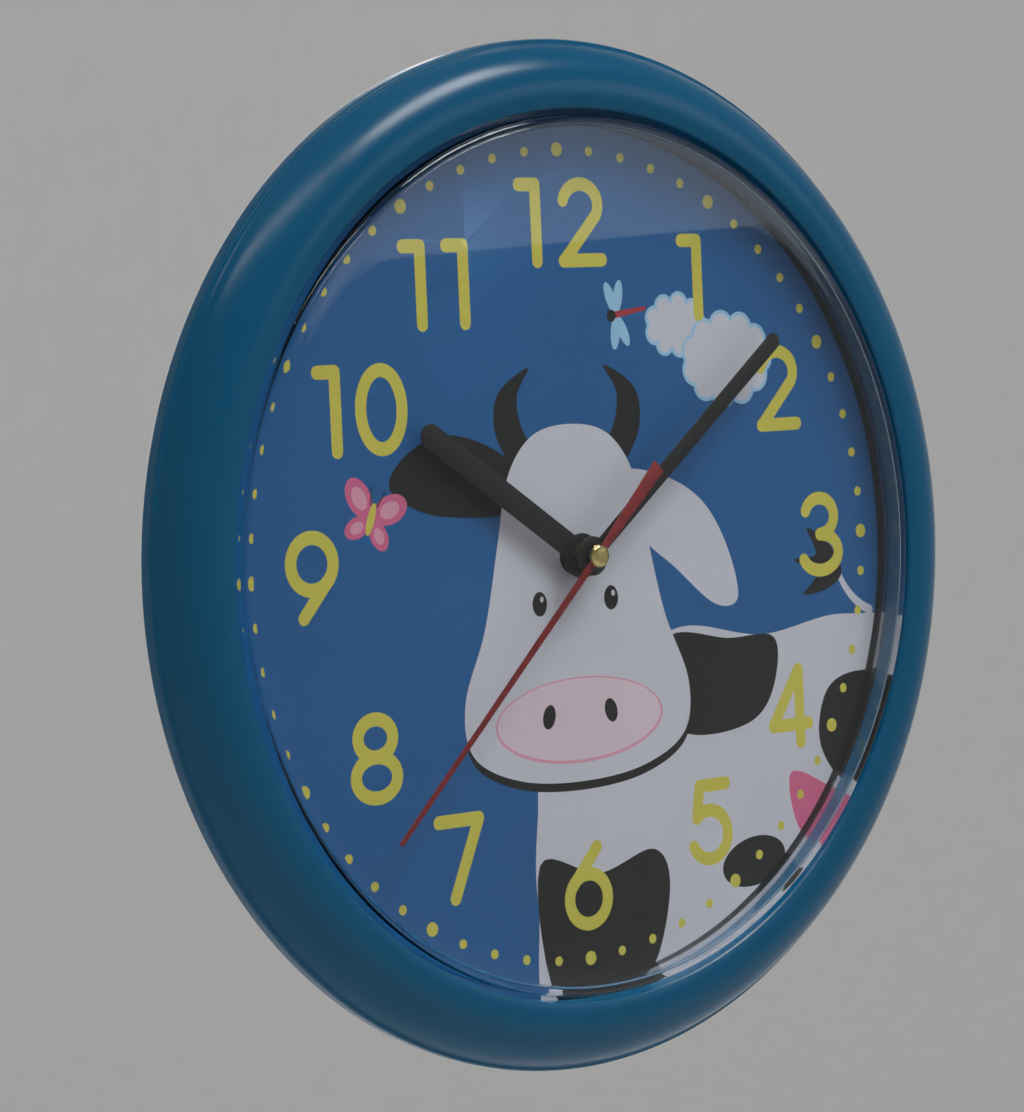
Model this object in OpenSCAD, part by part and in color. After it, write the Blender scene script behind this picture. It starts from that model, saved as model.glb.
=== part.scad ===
// Round battery wall clock: moulded bezel, clear tray lens, printed dial card, three hands and a
// stepping movement that clips behind the dial. It hangs from one screw by a steel keyhole plate.
// Sub-parts are drawn in the clock's own axes: x to the right, y up, z forward, with z = 0 on the
// dial's face and the hands' arbor on x = y = 0. place() stands them up with the wall at y = 0,
// the front towards -Y, and the wall screw's seat at the origin.

/* [Case] */
// Outside diameter of the bezel
bezel_d = 250; // [248:1:254]
// Radius of the opening in the bezel
bezel_hole_r = 107.7; // [107.6:0.1:108]
// Radius of the bezel's rounded roll, seen in section
roll_r = 12.9; // [12.6:0.1:13.2]
// Thickness of the bezel's wall
bezel_skin = 2.2; // [1.8:0.1:2.4]
// Height of the bezel's inner edge above the dial
bezel_edge_z = 8.9; // [8.4:0.1:9.2]
// Depth of the bezel's rear lip behind the dial's face
lip_depth = 3.5; // [3:0.1:4]
// Distance from the dial's face back to the wall
wall_depth = 25; // [25:0.5:30]
// Outside radius of the drum wall where it leaves the deck
drum_front_r = 112; // [110:0.5:113]
// Outside radius of the drum wall's rim on the wall
drum_rear_r = 105.5; // [104:0.5:107]
// Thickness of the drum wall
drum_t = 2; // [1.6:0.1:2.6]
// Thickness of the deck that carries the dial and the movement
deck_t = 2; // [1.6:0.1:2.4]
// Number of screws that hold the bezel
bezel_screws = 6; // [4:1:8]

/* [Lens and dial] */
// Outside radius of the lens wall
lens_r = 106.3; // [106:0.1:106.6]
// Thickness of the lens wall
lens_t = 1.9; // [1.6:0.1:2.2]
// Thickness of the lens's front
lens_front_t = 1.3; // [1:0.1:1.5]
// Radius of the lens's rounded front corner
lens_corner_r = 2.2; // [1.8:0.1:2.6]
// Height of the lens wall above the dial, up to the rounded corner
lens_wall_z = 8.2; // [8:0.1:9]
// Rise of the lens's middle above the top of its corner
lens_rise = 3.2; // [2.8:0.1:5]
// Radius of the dial card
dial_r = 113; // [112.8:0.1:113.4]
// Thickness of the dial card
dial_t = 0.6; // [0.4:0.1:0.8]

/* [Hands] */
// Length of the hour hand from the arbor
hour_len = 58; // [40:1:75]
// Width of the hour hand
hour_w = 6.1; // [4:0.1:8]
// Direction of the hour hand, in degrees clockwise from 12
hour_angle = 304.3; // [0:0.1:360]
// Length of the minute hand from the arbor
minute_len = 82.5; // [60:0.5:95]
// Width of the minute hand
minute_w = 4.2; // [3:0.1:6]
// Direction of the minute hand, in degrees clockwise from 12
minute_angle = 51.7; // [0:0.1:360]
// Length of the seconds hand from the arbor
second_len = 90; // [60:1:97]
// Length of the seconds hand's counterweight tail
tail_len = 29.5; // [15:0.5:40]
// Width of the tail's end
tail_w = 3.9; // [2:0.1:5]
// Direction of the seconds hand, in degrees clockwise from 12
second_angle = 225.6; // [0:0.1:360]
// Thickness of the stamped hands
hand_t = 0.4; // [0.3:0.05:0.5]

/* [Movement] */
// Side of the square movement
movement_w = 56; // [56:0.5:58]
// Depth of the movement
movement_depth = 16.4; // [16.4:0.1:17]
// Diameter of the AA cell
cell_d = 14.5; // [14:0.1:14.5]
// Length of the AA cell with its nub
cell_len = 50.5; // [49.5:0.1:50.5]
// Diameter of the setting knob
setting_knob_d = 10; // [8:0.5:12]

/* [Hanger] */
// Radius of the keyhole's round entry
keyhole_r = 5; // [4.5:0.1:5.5]
// Width of the keyhole's slot
keyhole_slot_w = 4.5; // [4.2:0.1:5]
// Height of the slot's end above the arbor
hook_y = 92; // [90:0.5:94]
// Distance from the entry's centre up to the slot's end
keyhole_rise = 8; // [8:0.5:9]

/* [Hidden] */

$fn = 96;
round_fn = 240;

// Gaps: between parts that seat on each other, and on the radius of running and press fits
seat_gap = 0.05;
run_gap = 0.05;
press_gap = 0.02;
// How far joined shapes run into each other
bite = 0.5;

// Levels of the case, from the dial's face back
deck_front = -dial_t - seat_gap;
deck_rear = deck_front - deck_t;
bezel_r = bezel_d / 2;
lens_foot_t = 1.5;
lens_foot_r = 112.6;
flange_r = 122.2;
screw_circle_r = 118;
roll_centre_r = bezel_hole_r + 3.9;
roll_centre_z = bezel_edge_z - 12.3;
crease_r = bezel_r - 1.3;
bush_r = 4;

// Levels of the movement
case_front = deck_rear - seat_gap;
case_wall = 1.2;
floor_z = case_front - case_wall;
case_rear = case_front - movement_depth;
cover_t = 1.15;
cover_front = case_rear + cover_t;
partition_top = -10.3;
bay_top = -11.9;
bay_bottom = -26.8;
chamber_x = 26.5;
chamber_top = 26.5;
bay_x = 26.8;
plate_bottom = -10;
plate_top = 15.8;
plate_left = -14.2;
plate_right = 19.6;
train_plate_z = [-10.8, -9.8];
bridge_plate_z = [-17.6, -16.6];

// Teeth. For each turn of the seconds wheel the rotor turns 30 times. The seconds wheel turns 60
// times for each turn of the centre wheel, and the minute arbor 12 times for the hour wheel's one
second_teeth = 40;
third_teeth = 60;
centre_teeth = 64;
fifth_teeth = 48;
pinion_teeth = 8;
cannon_teeth = 12;
minute_teeth = 36;
minute_pinion_teeth = 10;
hour_teeth = 40;
setting_teeth = 18;

// Modules of the gear pairs, and where each wheel turns
train_module = 0.3;
centre_module = train_module * (third_teeth + pinion_teeth) / (centre_teeth + pinion_teeth);
motion_module = 10 * 2 / (cannon_teeth + minute_teeth);
hour_module = 10 * 2 / (minute_pinion_teeth + hour_teeth);
rotor_module = 0.25;

function polar(r, a) = [r * cos(a), r * sin(a)];
function spacing(teeth_a, teeth_b, module_size) = (teeth_a + teeth_b) / 2 * module_size;

minute_wheel_dir = 150;
minute_wheel_at = polar(spacing(cannon_teeth, minute_teeth, motion_module), minute_wheel_dir);
setting_dir = 200;
setting_at = minute_wheel_at
    + polar(spacing(minute_teeth, setting_teeth, motion_module), setting_dir);
third_dir = 30;
third_at = polar(spacing(third_teeth, pinion_teeth, train_module), third_dir);
fifth_dir = 130;
fifth_at = polar(spacing(second_teeth, pinion_teeth, train_module), fifth_dir);
rotor_dir = 100;
rotor_at = fifth_at + polar(spacing(fifth_teeth, pinion_teeth, rotor_module), rotor_dir);

// Radii of arbors and their pivots
pivot_r = 0.5;
stem_r = 0.8;
staff_r = 0.7;
minute_arbor_r = 1.6;
spigot_r = 1.1;
hour_pipe_r = 2.55;
setting_stem_r = 1.5;
minute_post_r = 0.9;

// Levels of the wheels and pinions, rear and front, and of the staffs they turn on
hour_wheel_z = [-5.2, -4.2];
minute_pinion_z = [-6.2, -4.1];
minute_wheel_z = [-6.9, -6];
setting_gear_z = [-7, -5.9];
cannon_z = [-7.3, -5.7];
third_pinion_z = [-9.4, -7.6];
centre_wheel_z = [-9, -8.2];
third_wheel_z = [-12.4, -11.6];
second_pinion_z = [-13.6, -11.2];
second_wheel_z = [-14.2, -13.4];
fifth_pinion_z = [-15.4, -13.2];
fifth_wheel_z = [-16, -15.2];
rotor_pinion_z = [-16.3, -15];
magnet_z = [-14.7, -12.1];
pivot_rear = -17.4;
staff_rear = -16.4;
staff_front = -11;
pivot_front = -10;

// Heights of the hands above the dial
hour_hand_z = 2.9;
minute_hand_z = 6.8;
second_hand_z = 8.6;
cap_top_z = 10.6;
hour_hub_r = 5.5;
minute_hub_r = 4.8;
second_hub_r = 2.3;
cap_r = 2.75;

// Bushes that carry the hands, and the front ends of what the hands sit on
hour_collet_r = 2.9;
minute_collet_r = 2;
second_tube_r = 1.1;
hour_pipe_front = 4;
minute_arbor_front = 7.9;
second_tube_front = second_hand_z + hand_t + 0.9;

// The cell and where it lies
cell_r = cell_d / 2;
cell_at = [0, (bay_top + bay_bottom) / 2, floor_z - 0.2 - cell_r];
nub_len = 1.3;
nub_r = 2.7;
nub_tip_x = 25.4;
strip_t = 0.4;
strip_z = [-9.6, -7.4];
strip_x = 25.9;
contact_z = [-17, -6];

// The pillars that join the plates to the movement case
pillar_r = 1.5;
pillars = [[17.8, -8], [-12.3, -8.3], [17.8, 13.8], [-12.5, 14.2]];

// The coil, its iron and the circuit board
stator_z = [-13.9, -12.9];
core_z = [-12.85, -11.85];
core_y = [20, 23];
coil_x = [-15.2, 3.7];
coil_y = (core_y[0] + core_y[1]) / 2;
coil_mid_z = (core_z[0] + core_z[1]) / 2;
winding_r = 3.7;
flange_t = 0.8;
board_z = [-10.7, -9.7];
board_x = [8.4, 26];
board_y = [16.4, 26];

module place() {
    translate([0, -wall_depth, -hook_y])
        rotate([90, 0, 0])
            children();
}

// A solid of revolution about z between two levels
module disc(r, z0, z1, fn = $fn) {
    translate([0, 0, z0])
        cylinder(r = r, h = z1 - z0, $fn = fn);
}

module tube(outer, inner, z0, z1, fn = $fn) {
    difference() {
        disc(outer, z0, z1, fn);
        disc(inner, z0 - 1, z1 + 1, fn);
    }
}

// A box from one corner to the opposite corner
module block(low, high) {
    translate(low)
        cube(high - low);
}

module at(p) {
    translate([p[0], p[1], 0])
        children();
}

// The children in each of the four quarters around the arbor
module four_ways() {
    for (x = [-1, 1], y = [-1, 1])
        scale([x, y, 1])
            children();
}

function arc(centre, r, a0, a1, steps) = [
    for (i = [0 : steps])
        centre + polar(r, a0 + (a1 - a0) * i / steps)
];

function reversed(list) = [for (i = [len(list) - 1 : -1 : 0]) list[i]];

// Gear teeth: height above the pitch circle in modules, half width as a share of the pitch
wheel_tooth = [[-1.35, 0.24], [0, 0.22], [0.55, 0.17], [1, 0.09]];
pinion_tooth = [[-1.5, 0.17], [0, 0.2], [0.41, 0.17], [0.75, 0.1]];

function tooth_sides(tooth) = concat(
    [for (step = tooth) [step[0], -step[1]]],
    [for (i = [len(tooth) - 1 : -1 : 0]) tooth[i]]
);

function gear_outline(teeth, module_size, phase, tooth) = [
    for (i = [0 : teeth - 1])
        for (point = tooth_sides(tooth))
            polar(teeth * module_size / 2 + point[0] * module_size, phase + (i + point[1]) * 360 / teeth)
];

// Angle of a tooth on the second gear that puts its gap on a tooth of the first, in direction dir
function mesh_phase(dir, teeth_a, phase_a, teeth_b) =
    dir + 180 - (0.5 - (dir - phase_a) * teeth_a / 360) * 360 / teeth_b;

minute_wheel_phase = mesh_phase(minute_wheel_dir, cannon_teeth, 0, minute_teeth);
hour_wheel_phase = mesh_phase(minute_wheel_dir + 180, minute_pinion_teeth, 0, hour_teeth);
setting_phase = mesh_phase(setting_dir, minute_teeth, minute_wheel_phase, setting_teeth);
third_phase = mesh_phase(third_dir, pinion_teeth, 0, third_teeth);
centre_phase = mesh_phase(third_dir + 180, pinion_teeth, 0, centre_teeth);
fifth_pinion_phase = mesh_phase(fifth_dir, second_teeth, 0, pinion_teeth);
rotor_phase = mesh_phase(rotor_dir, fifth_teeth, 0, pinion_teeth);

module gear(teeth, module_size, phase, z, tooth = wheel_tooth) {
    translate([0, 0, z[0]])
        linear_extrude(z[1] - z[0])
            polygon(gear_outline(teeth, module_size, phase, tooth));
}

// Round windows that lighten a moulded wheel
module wheel_windows(count, circle_r, r, z) {
    for (i = [0 : count - 1])
        at(polar(circle_r, (i + 0.5) * 360 / count))
            disc(r, z[0] - 0.1, z[1] + 0.1, 48);
}

// ---- Case ----

function bezel_section() =
    let (
        hole_angle = acos((bezel_hole_r - roll_centre_r) / roll_r),
        crease_angle = acos((crease_r - roll_centre_r) / roll_r),
        centre = [roll_centre_r, roll_centre_z],
        inner_r = roll_r - bezel_skin,
        lip_r = bezel_r - bezel_skin,
        lip_angle = acos((lip_r - 1 - roll_centre_r) / inner_r),
        wall_angle = acos((bezel_hole_r + 1.8 - roll_centre_r) / inner_r),
        foot_z = lens_foot_t + 0.1
    )
    concat(
        [[bezel_hole_r, foot_z]],
        arc(centre, roll_r, hole_angle, crease_angle, 32),
        [[bezel_r - 0.5, 0.85], [bezel_r - 0.12, 0.5], [bezel_r, 0], [bezel_r, -lip_depth]],
        [[lip_r, -lip_depth], [lip_r, -1]],
        arc(centre, inner_r, lip_angle, wall_angle, 24),
        [[bezel_hole_r + 1.8, foot_z]]
    );

// The bezel's outside shape filled down to the screw bosses' feet
function bezel_filled_section() =
    let (
        hole_angle = acos((bezel_hole_r + 1 - roll_centre_r) / (roll_r - 0.6)),
        crease_angle = acos((crease_r - 2 - roll_centre_r) / (roll_r - 0.6)),
        boss_foot = deck_front + seat_gap
    )
    concat(
        [[bezel_hole_r + 1, boss_foot]],
        arc([roll_centre_r, roll_centre_z], roll_r - 0.6, hole_angle, crease_angle, 24),
        [[crease_r - 2, boss_foot]]
    );

module case_ring() {
    boss_r = 2.9;
    pilot_r = 1.2;
    pilot_end = 4.4;
    color([0.1, 0.42, 0.62])
        difference() {
            union() {
                rotate_extrude($fn = round_fn)
                    polygon(bezel_section());
                intersection() {
                    rotate_extrude($fn = round_fn)
                        polygon(bezel_filled_section());
                    for (i = [0 : bezel_screws - 1])
                        at(polar(screw_circle_r, i * 360 / bezel_screws))
                            disc(boss_r, -lip_depth, bezel_edge_z, 48);
                }
            }
            for (i = [0 : bezel_screws - 1])
                at(polar(screw_circle_r, i * 360 / bezel_screws))
                    disc(pilot_r, -lip_depth, pilot_end, 48);
        }
}

// Pan-head screw, head to the rear at z = 0, shank forward
module pan_screw(head_r, head_h, shank_r, shank_len) {
    slot_half_len = head_r * 0.6;
    slot_half_w = 0.35;
    slot_floor = -head_h * 0.4;
    difference() {
        union() {
            disc(head_r, -head_h, 0, 48);
            disc(shank_r, -0.1, shank_len, 48);
        }
        for (turn = [0, 90])
            rotate([0, 0, turn])
                block([-slot_half_len, -slot_half_w, -head_h - 1], [slot_half_len, slot_half_w, slot_floor]);
    }
}

module case_screws() {
    color("silver")
        for (i = [0 : bezel_screws - 1])
            at(polar(screw_circle_r, i * 360 / bezel_screws))
                translate([0, 0, deck_rear - seat_gap])
                    rotate([0, 0, i * 50])
                        pan_screw(head_r = 2.8, head_h = 1.8, shank_r = 1.15, shank_len = 6.6);
}

// Points along the lens's dome from an edge radius to the middle, a drop below its outer face
function lens_dome(drop, edge_r, steps) =
    let (
        top_z = lens_wall_z + lens_corner_r + lens_rise,
        dome_r = lens_r - lens_corner_r,
        sphere_r = (dome_r * dome_r + lens_rise * lens_rise) / (2 * lens_rise)
    )
    [
        for (i = [0 : steps])
            let (r = edge_r * (1 - i / steps))
            [r, top_z - drop - (sphere_r - sqrt(sphere_r * sphere_r - r * r))]
    ];

module lens() {
    inner_r = lens_r - lens_t;
    inner_corner_r = 1.2;
    inner_wall_z = lens_wall_z + lens_corner_r - lens_front_t - inner_corner_r;
    color([0.85, 0.92, 0.95, 0.3])
        rotate_extrude($fn = round_fn)
            polygon(concat(
                [[inner_r, seat_gap], [lens_foot_r, seat_gap]],
                [[lens_foot_r, lens_foot_t], [lens_r, lens_foot_t]],
                arc([lens_r - lens_corner_r, lens_wall_z], lens_corner_r, 0, 84, 8),
                lens_dome(0, lens_r - lens_corner_r, 20),
                reversed(lens_dome(lens_front_t, inner_r - inner_corner_r, 20)),
                reversed(arc([inner_r - inner_corner_r, inner_wall_z], inner_corner_r, 0, 84, 5))
            ));
}

module dial_card() {
    color([0.2, 0.45, 0.8])
        tube(dial_r, bush_r + 0.5, -dial_t, 0, round_fn);
}

// Ears of the movement's cradle, and the deck's pins that go through them
ear_at = [33.5, 24];
ear_r = 3.4;
ear_rear = -5.05;
pin_r = 1.2;
pin_head_r = 2;

tower_x = [8.5, 15];
tower_bottom = 76;
plate_rear_z = -wall_depth + 2;
hanger_t = 1.2;
plate_front_z = plate_rear_z + hanger_t;
hanger_screw_at = [(tower_x[0] + tower_x[1]) / 2, 90];
hanger_top = 101;

module drum_wall() {
    rotate_extrude($fn = round_fn)
        polygon([
            [drum_front_r - drum_t, deck_rear + bite],
            [drum_front_r, deck_rear + bite],
            [drum_rear_r, -wall_depth],
            [drum_rear_r - drum_t, -wall_depth]
        ]);
}

// Twelve low ribs stiffen the deck between the movement's cradle and the drum wall
module deck_ribs() {
    rib_h = 2;
    rib_t = 1.6;
    rib_start = 46;
    rib_end = drum_rear_r + 3;
    for (i = [0 : 11])
        rotate([0, 0, 15 + i * 30])
            block([rib_start, -rib_t / 2, deck_rear - rib_h], [rib_end, rib_t / 2, deck_rear + bite]);
}

// Pins of the deck, melted into heads over the cradle's ears
module cradle_pins() {
    head_h = 1.4;
    four_ways()
        at(ear_at) {
            disc(pin_r, ear_rear - head_h, deck_rear + bite, 48);
            disc(pin_head_r, ear_rear - head_h, ear_rear - seat_gap, 48);
        }
}

// Two solid posts that carry the hanger plate
module hanger_posts() {
    intersection() {
        for (side = [-1, 1])
            scale([side, 1, 1])
                block(
                    [tower_x[0], tower_bottom, plate_front_z + seat_gap],
                    [tower_x[1], drum_front_r, deck_rear + bite]
                );
        disc(drum_rear_r - 0.5, -wall_depth, 0, round_fn);
    }
}

module back_case() {
    bush_hole_r = bush_r + 0.3;
    screw_hole_r = 1.6;
    hanger_pilot_r = 1.1;
    hanger_pilot_depth = 8;
    color([0.14, 0.4, 0.58])
        difference() {
            union() {
                disc(flange_r, deck_rear, deck_front, round_fn);
                drum_wall();
                deck_ribs();
                cradle_pins();
                hanger_posts();
            }
            disc(bush_hole_r, deck_rear - 1, deck_front + 1);
            for (i = [0 : bezel_screws - 1])
                at(polar(screw_circle_r, i * 360 / bezel_screws))
                    disc(screw_hole_r, deck_rear - 1, deck_front + 1, 48);
            for (side = [-1, 1])
                at([side * hanger_screw_at[0], hanger_screw_at[1]])
                    disc(hanger_pilot_r, plate_front_z - 1, plate_front_z + hanger_pilot_depth, 48);
        }
}

// Frame on the deck's rear that holds the movement, with four hooks over its rear edges and four
// ears for the deck's pins
module movement_cradle() {
    inner = movement_w / 2 + 0.3;
    outer = inner + 1.6;
    front = deck_rear - seat_gap;
    frame_rear = deck_rear - 4;
    hook_w = 8;
    hook_offset = 14;
    reach = movement_w / 2 - 0.6;
    catch_front = case_rear - 0.1;
    catch_rear = catch_front - 1.4;
    color([0.14, 0.4, 0.58])
        difference() {
            union() {
                difference() {
                    block([-outer, -outer, frame_rear], [outer, outer, front]);
                    block([-inner, -inner, frame_rear - 1], [inner, inner, front + 1]);
                }
                for (side = [-1, 1])
                    for (y = [-hook_offset, hook_offset])
                        scale([side, 1, 1])
                            translate([0, y, 0]) {
                                block([inner, -hook_w / 2, catch_rear], [outer, hook_w / 2, front]);
                                block([reach, -hook_w / 2, catch_rear], [inner + 1, hook_w / 2, catch_front]);
                            }
                four_ways() {
                    at(ear_at)
                        disc(ear_r, ear_rear, front, 48);
                    block([inner + 0.4, ear_at[1] - ear_r, ear_rear], [ear_at[0], ear_at[1] + ear_r, front]);
                }
            }
            four_ways()
                at(ear_at)
                    disc(pin_r + seat_gap, ear_rear - 1, front + 1, 48);
        }
}

module hanger_plate() {
    entry_y = hook_y - keyhole_rise;
    screw_hole_r = 1.3;
    color("silver")
        difference() {
            block([-tower_x[1], tower_bottom, plate_rear_z], [tower_x[1], hanger_top, plate_front_z]);
            at([0, entry_y])
                disc(keyhole_r, plate_rear_z - 1, plate_front_z + 1);
            at([0, hook_y])
                disc(keyhole_slot_w / 2, plate_rear_z - 1, plate_front_z + 1);
            block(
                [-keyhole_slot_w / 2, entry_y, plate_rear_z - 1],
                [keyhole_slot_w / 2, hook_y, plate_front_z + 1]
            );
            for (side = [-1, 1])
                at([side * hanger_screw_at[0], hanger_screw_at[1]])
                    disc(screw_hole_r, plate_rear_z - 1, plate_front_z + 1, 48);
        }
}

module hanger_screws() {
    color("silver")
        for (side = [-1, 1])
            translate([side * hanger_screw_at[0], hanger_screw_at[1], plate_rear_z - seat_gap])
                rotate([0, 0, side * 20])
                    pan_screw(head_r = 2.4, head_h = 1.5, shank_r = 1.05, shank_len = 7);
}

// ---- Hands, drawn pointing to 12 and turned to the time shown ----

module clockwise(angle) {
    rotate([0, 0, -angle])
        children();
}

// Stamped blade with a round tip on a round hub
module blade(len, root_w, tip_w, hub_r, bore_r, z) {
    translate([0, 0, z])
        linear_extrude(hand_t)
            difference() {
                union() {
                    circle(r = hub_r);
                    polygon([
                        [-root_w / 2, 0], [root_w / 2, 0],
                        [tip_w / 2, len - tip_w / 2], [-tip_w / 2, len - tip_w / 2]
                    ]);
                    translate([0, len - tip_w / 2])
                        circle(r = tip_w / 2, $fn = 48);
                }
                circle(r = bore_r);
            }
}

module hour_hand() {
    color([0.08, 0.08, 0.08])
        clockwise(hour_angle)
            blade(hour_len, hour_w, hour_w, hour_hub_r, hour_collet_r + run_gap, hour_hand_z);
}

// Brass bush pressed into the hour hand, with a rim in front of and a skirt behind the blade
module hour_hand_collet() {
    skirt_rear = hour_hand_z - 1;
    rim_front = hour_hand_z + hand_t + 0.6;
    color([0.72, 0.6, 0.3])
        difference() {
            union() {
                disc(hour_collet_r, skirt_rear, rim_front, 64);
                disc(hour_collet_r + 0.4, skirt_rear, hour_hand_z - seat_gap, 64);
            }
            disc(hour_pipe_r + press_gap, skirt_rear - 1, rim_front + 1, 64);
        }
}

module minute_hand() {
    color([0.08, 0.08, 0.08])
        clockwise(minute_angle)
            blade(
                minute_len, minute_w - 0.4, minute_w,
                minute_hub_r, minute_collet_r + run_gap, minute_hand_z
            );
}

module minute_hand_collet() {
    skirt_rear = minute_hand_z - 1.2;
    rim_front = minute_hand_z + hand_t + 0.4;
    color([0.1, 0.1, 0.1])
        difference() {
            union() {
                disc(minute_collet_r, skirt_rear, rim_front, 64);
                disc(minute_collet_r + 0.5, skirt_rear, minute_hand_z - seat_gap, 64);
            }
            disc(minute_arbor_r + press_gap, skirt_rear - 1, rim_front + 1, 64);
        }
}

module second_hand() {
    needle_root = 1.9;
    needle_tip = 1.2;
    color([0.6, 0.1, 0.12])
        clockwise(second_angle)
            translate([0, 0, second_hand_z])
                linear_extrude(hand_t)
                    difference() {
                        union() {
                            circle(r = second_hub_r, $fn = 64);
                            polygon([
                                [-needle_root / 2, 0], [needle_root / 2, 0],
                                [needle_tip / 2, second_len], [-needle_tip / 2, second_len]
                            ]);
                            polygon([
                                [needle_root / 2, 0], [-needle_root / 2, 0],
                                [-tail_w / 2, -tail_len], [tail_w / 2, -tail_len]
                            ]);
                        }
                        circle(r = second_tube_r + run_gap, $fn = 64);
                    }
}

module second_hand_tube() {
    color("silver")
        tube(second_tube_r, pivot_r + press_gap, second_hand_z - 0.3, second_tube_front, 48);
}

// Turned brass cap with a bevelled front
module second_hand_cap() {
    base_z = second_hand_z + hand_t + seat_gap;
    bore_r = second_tube_r + run_gap;
    bore_end = second_tube_front + 0.1;
    color([0.8, 0.7, 0.35])
        rotate_extrude($fn = 64)
            polygon([
                [bore_r, base_z], [cap_r - 0.15, base_z], [cap_r, base_z + 0.15],
                [cap_r, cap_top_z - 0.75], [cap_r - 0.35, cap_top_z - 0.4],
                [cap_r - 1, cap_top_z - 0.12], [0, cap_top_z],
                [0, bore_end], [bore_r, bore_end]
            ]);
}

// ---- Movement housing ----

module movement_case() {
    half = movement_w / 2;
    bush_front = 1.2;
    minute_post_rear = -7.8;
    setting_boss_r = 2;
    setting_boss_rear = -5.2;
    board_post_r = 1.2;
    board_posts = [[23.5, 19], [11, 23.8]];
    strip_slot_x = 26.2;
    strip_slot_half = 0.4;
    color([0.1, 0.1, 0.11])
        difference() {
            union() {
                difference() {
                    block([-half, -half, case_rear], [half, half, case_front]);
                    block([-chamber_x, partition_top, case_rear - 1], [chamber_x, chamber_top, floor_z]);
                    block([-bay_x, bay_bottom, case_rear - 1], [bay_x, bay_top, floor_z]);
                    block(
                        [-half - 1, bay_top + 0.8, case_rear - 1],
                        [half + 1, half + 1, cover_front - seat_gap]
                    );
                }
                disc(bush_r, case_front - bite, bush_front);
                at(minute_wheel_at)
                    disc(minute_post_r, minute_post_rear, floor_z + bite, 48);
                at(setting_at)
                    disc(setting_boss_r, setting_boss_rear, floor_z + bite, 48);
                for (p = pillars)
                    at(p)
                        disc(pillar_r, train_plate_z[1] + seat_gap, floor_z + bite, 48);
                for (p = board_posts)
                    at(p)
                        disc(board_post_r, board_z[1] + seat_gap, floor_z + bite, 48);
            }
            disc(hour_pipe_r + run_gap, floor_z - 1, bush_front + 1);
            at(setting_at)
                disc(stem_r + run_gap, setting_boss_rear - 0.8, floor_z + 0.1, 48);
            at(third_at)
                disc(pivot_r + run_gap, floor_z - 1, floor_z + 0.8, 48);
            for (side = [-1, 1])
                block(
                    [side * strip_slot_x - strip_slot_half, bay_top - 1, strip_z[0] - 0.2],
                    [side * strip_slot_x + strip_slot_half, partition_top + 1, strip_z[1] + 0.2]
                );
        }
}

module movement_cover() {
    half = movement_w / 2 - 0.1;
    collar_r = 3;
    collar_h = 0.6;
    vents = 6;
    vent_x = 6;
    vent_pitch = 3;
    vent_w = 1.2;
    vent_y = [14, 23];
    vent_floor = case_rear + 0.5;
    color([0.13, 0.13, 0.14])
        difference() {
            union() {
                block([-half, bay_top + 0.9, case_rear], [half, half, cover_front - 2 * seat_gap]);
                at(setting_at)
                    disc(collar_r, case_rear - collar_h, case_rear + bite, 48);
            }
            at(setting_at)
                disc(setting_stem_r + run_gap, case_rear - 2, cover_front + 1, 48);
            for (i = [0 : vents - 1])
                translate([vent_x + i * vent_pitch, 0, 0])
                    block([0, vent_y[0], case_rear - 1], [vent_w, vent_y[1], vent_floor]);
        }
}

module plate_outline(z) {
    block([plate_left, plate_bottom, z[0]], [plate_right, plate_top, z[1]]);
}

module train_plate() {
    color([0.85, 0.85, 0.8])
        difference() {
            plate_outline(train_plate_z);
            disc(spigot_r + 0.5, train_plate_z[0] - 1, train_plate_z[1] + 1);
            at(third_at)
                disc(stem_r + run_gap, train_plate_z[0] - 1, train_plate_z[1] + 1, 48);
            for (p = [fifth_at, rotor_at])
                at(p)
                    disc(pivot_r + run_gap, train_plate_z[0] - 1, train_plate_z[1] + 1, 48);
        }
}

module bridge_plate() {
    color([0.8, 0.8, 0.76])
        difference() {
            union() {
                plate_outline(bridge_plate_z);
                for (p = pillars)
                    at(p)
                        disc(pillar_r, bridge_plate_z[1] - bite, train_plate_z[0] - seat_gap, 48);
            }
            for (p = [[0, 0], third_at, fifth_at, rotor_at])
                at(p)
                    disc(pivot_r + run_gap, bridge_plate_z[0] - 1, bridge_plate_z[1] + 1, 48);
        }
}

// ---- Motion work: cannon pinion, minute wheel, hour wheel and setting gear ----

module hour_wheel() {
    color([0.12, 0.12, 0.12])
        difference() {
            union() {
                gear(hour_teeth, hour_module, hour_wheel_phase, hour_wheel_z);
                disc(hour_pipe_r, hour_wheel_z[0] - 0.1, hour_pipe_front);
            }
            disc(minute_arbor_r + run_gap, hour_wheel_z[0] - 1, hour_pipe_front + 1);
        }
}

module minute_arbor() {
    spigot_rear = -9.5;
    color([0.8, 0.68, 0.35])
        difference() {
            union() {
                disc(minute_arbor_r, cannon_z[0], minute_arbor_front);
                gear(cannon_teeth, motion_module, 0, cannon_z, pinion_tooth);
                disc(spigot_r, spigot_rear, cannon_z[0] + 0.3);
            }
            disc(pivot_r + run_gap, spigot_rear - 1, minute_arbor_front + 1, 48);
        }
}

module minute_wheel() {
    color([0.9, 0.9, 0.86])
        at(minute_wheel_at)
            difference() {
                union() {
                    gear(minute_teeth, motion_module, minute_wheel_phase, minute_wheel_z);
                    gear(minute_pinion_teeth, hour_module, 0, minute_pinion_z, pinion_tooth);
                }
                disc(minute_post_r + run_gap, minute_wheel_z[0] - 1, minute_pinion_z[1] + 1, 48);
                wheel_windows(5, 4.6, 1.2, minute_wheel_z);
            }
}

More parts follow.
